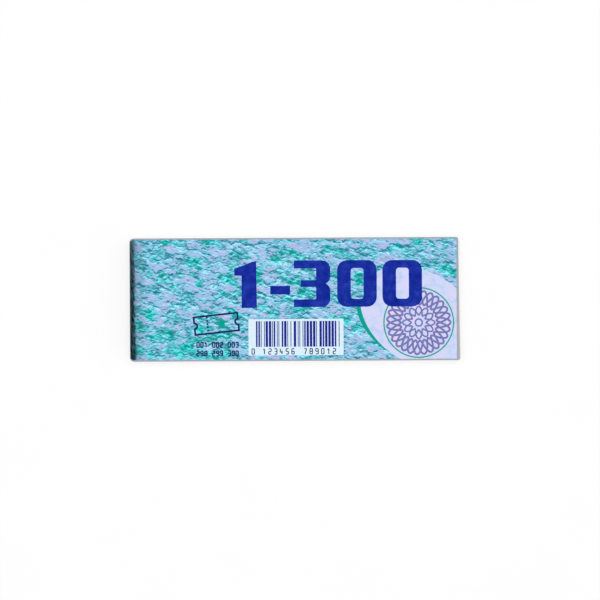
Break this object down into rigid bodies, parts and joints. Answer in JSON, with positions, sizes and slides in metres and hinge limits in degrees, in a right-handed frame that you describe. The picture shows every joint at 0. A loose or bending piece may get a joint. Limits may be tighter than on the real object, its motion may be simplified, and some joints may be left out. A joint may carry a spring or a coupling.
{
  "type": "numbered ticket book",
  "caption": "Small pad of perforated numbered ticket leaves, glued at the spine into a printed wrap-around cover; it opens like a book.",
  "frame": {"origin": "middle of the back cover's outer face, on which the closed book lies", "axes": "+X from the spine to the fore-edge, along the front cover's figures; +Y towards the head; +Z out of the front cover"},
  "size_m": [0.1234, 0.046, 0.0095],
  "materials": {
    "cover_print": "coated card, printed with a crinkled pale blue and lilac pattern, satin",
    "leaf_paper": "uncoated printing paper, matt",
    "spine_adhesive": "dried flexible padding adhesive, off-white"
  },
  "bodies": {
    "root": {"back_cover": "cover_print", "spine_glue_lower": "spine_adhesive", "leaf_056": "leaf_paper", "leaves_057_to_060": "leaf_paper", "leaves_061_to_064": "leaf_paper", "leaves_065_to_068": "leaf_paper", "leaves_069_to_072": "leaf_paper", "leaves_073_to_076": "leaf_paper", "leaves_077_to_080": "leaf_paper", "leaves_081_to_084": "leaf_paper", "leaves_085_to_088": "leaf_paper", "leaves_089_to_092": "leaf_paper", "leaves_093_to_096": "leaf_paper", "leaves_097_to_100": "leaf_paper"},
    "upper_block": {"spine_wrap_upper": "cover_print", "spine_glue_upper": "spine_adhesive", "leaf_001": "leaf_paper", "leaves_002_to_005": "leaf_paper", "leaves_006_to_009": "leaf_paper", "leaves_010_to_013": "leaf_paper", "leaves_014_to_017": "leaf_paper", "leaves_018_to_021": "leaf_paper", "leaves_022_to_025": "leaf_paper", "leaves_026_to_029": "leaf_paper", "leaves_030_to_033": "leaf_paper", "leaves_034_to_037": "leaf_paper", "leaves_038_to_041": "leaf_paper", "leaves_042_to_045": "leaf_paper", "leaves_046_to_049": "leaf_paper", "leaf_050": "leaf_paper"},
    "front_cover": {"front_cover": "cover_print"},
    "fan_leaf_051": {"fan_leaf_051": "leaf_paper"},
    "fan_leaf_052": {"fan_leaf_052": "leaf_paper"},
    "fan_leaf_053": {"fan_leaf_053": "leaf_paper"},
    "fan_leaf_054": {"fan_leaf_054": "leaf_paper"},
    "fan_leaf_055": {"fan_leaf_055": "leaf_paper"}
  },
  "joints": [
    {"name": "block_open", "type": "hinge", "parent": "root", "child": "upper_block", "pos_m": [-0.06177, 0, 0.00476], "axis": [0, -1, 0], "range_deg": [0, 180]},
    {"name": "cover_open", "type": "hinge", "parent": "upper_block", "child": "front_cover", "pos_m": [-0.06015, 0, 0.00954], "axis": [0, -1, 0], "range_deg": [0, 180]},
    {"name": "fan_leaf_051_turn", "type": "hinge", "parent": "root", "child": "fan_leaf_051", "pos_m": [-0.06115, 0, 0.00471], "axis": [0, -1, 0], "range_deg": [0, 150]},
    {"name": "fan_leaf_052_turn", "type": "hinge", "parent": "root", "child": "fan_leaf_052", "pos_m": [-0.06115, 0, 0.00462], "axis": [0, -1, 0], "range_deg": [0, 120]},
    {"name": "fan_leaf_053_turn", "type": "hinge", "parent": "root", "child": "fan_leaf_053", "pos_m": [-0.06115, 0, 0.00453], "axis": [0, -1, 0], "range_deg": [0, 90]},
    {"name": "fan_leaf_054_turn", "type": "hinge", "parent": "root", "child": "fan_leaf_054", "pos_m": [-0.06115, 0, 0.00444], "axis": [0, -1, 0], "range_deg": [0, 60]},
    {"name": "fan_leaf_055_turn", "type": "hinge", "parent": "root", "child": "fan_leaf_055", "pos_m": [-0.06115, 0, 0.00435], "axis": [0, -1, 0], "range_deg": [0, 30]}
  ],
  "couplings": [
    {"joint": "fan_leaf_051_turn", "follows": "block_open", "ratio": 0.83333},
    {"joint": "fan_leaf_052_turn", "follows": "block_open", "ratio": 0.66667},
    {"joint": "fan_leaf_053_turn", "follows": "block_open", "ratio": 0.5},
    {"joint": "fan_leaf_054_turn", "follows": "block_open", "ratio": 0.33333},
    {"joint": "fan_leaf_055_turn", "follows": "block_open", "ratio": 0.16667}
  ]
}
